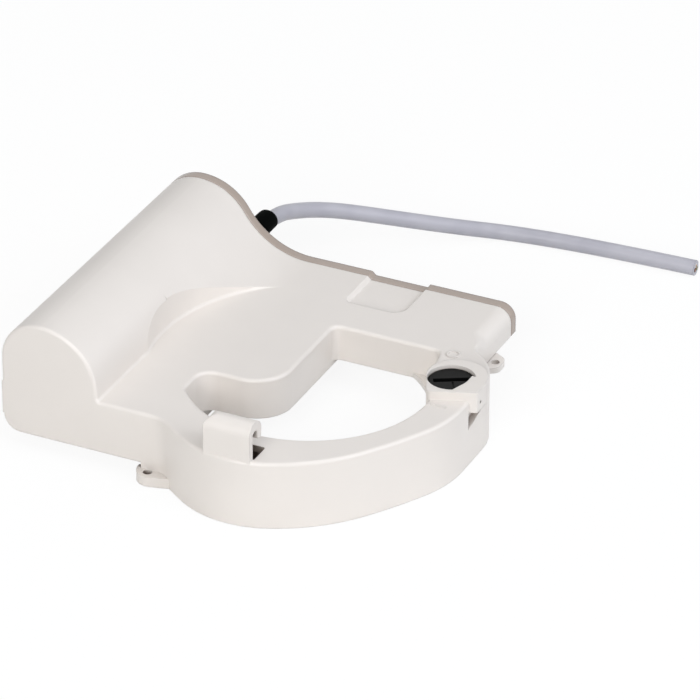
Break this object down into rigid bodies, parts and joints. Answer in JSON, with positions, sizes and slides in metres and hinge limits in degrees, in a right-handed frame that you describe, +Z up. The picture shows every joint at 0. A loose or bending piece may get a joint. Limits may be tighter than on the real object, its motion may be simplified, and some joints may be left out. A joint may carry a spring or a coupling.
{
  "type": "meter pulse transmitter",
  "caption": "Clip-on pulse transmitter for a water meter: open collar round the register, battery hump on the left, flat deck, hook, slotted quarter-turn lock and signal cable.",
  "frame": {"origin": "on the axis of the meter's register, in the plane of the collar's lower edge", "axes": "+Z up along the register's axis, -Y to the front where the hook is, +X to the lock, -X to the battery hump"},
  "size_m": [0.1508, 0.2021, 0.0435],
  "materials": {
    "housing_white": "satin moulded plastic",
    "cover_taupe": "satin moulded plastic",
    "seal_rubber": "soft seal",
    "screw_steel": "plated screw",
    "cell_sleeve": "shrink sleeve",
    "tab_nickel": "nickel strip",
    "capacitor_sleeve": "shrink sleeve",
    "board_green": "solder mask",
    "chip_black": "moulded package",
    "ceramic_tan": "ceramic",
    "block_green": "moulded plastic",
    "bobbin_white": "moulded plastic",
    "winding_copper": "enamelled wire",
    "ferrite_grey": "sintered ferrite",
    "gland_black": "moulded rubber",
    "cable_grey": "extruded sheath",
    "wire_white": "insulation",
    "wire_brown": "insulation",
    "wire_green": "insulation",
    "lock_black": "moulded plastic",
    "cam_brass": "machined brass"
  },
  "bodies": {
    "body": {"housing": "housing_white", "rear_gasket": "seal_rubber", "rear_cover": "cover_taupe", "rear_cover_screws": "screw_steel", "base_cover": "cover_taupe", "base_gasket": "seal_rubber", "base_cover_screws": "screw_steel", "battery_cell": "cell_sleeve", "front_terminal": "tab_nickel", "rear_terminal": "tab_nickel", "pulse_capacitor": "capacitor_sleeve", "capacitor_leads": "tab_nickel", "battery_cradle": "bobbin_white", "circuit_board": "board_green", "board_screws": "screw_steel", "microcontroller": "chip_black", "crystal": "tab_nickel", "chip_capacitors": "ceramic_tan", "terminal_block": "block_green", "front_coil_bobbin": "bobbin_white", "front_coil_winding": "winding_copper", "front_coil_core": "ferrite_grey", "rear_coil_bobbin": "bobbin_white", "rear_coil_winding": "winding_copper", "rear_coil_core": "ferrite_grey", "cable_gland": "gland_black", "cable_tail": "cable_grey", "left_wire": "wire_white", "middle_wire": "wire_brown", "right_wire": "wire_green", "cable": "cable_grey", "lock_seal": "seal_rubber"},
    "lock": {"lock_screw": "lock_black", "lock_clip": "screw_steel", "lock_cam": "cam_brass"}
  },
  "joints": [
    {"name": "lock_turn", "type": "hinge", "parent": "body", "child": "lock", "pos_m": [0.04136, 0.0118, 0.0204], "axis": [0, 0, 1], "range_deg": [0, 90]}
  ]
}
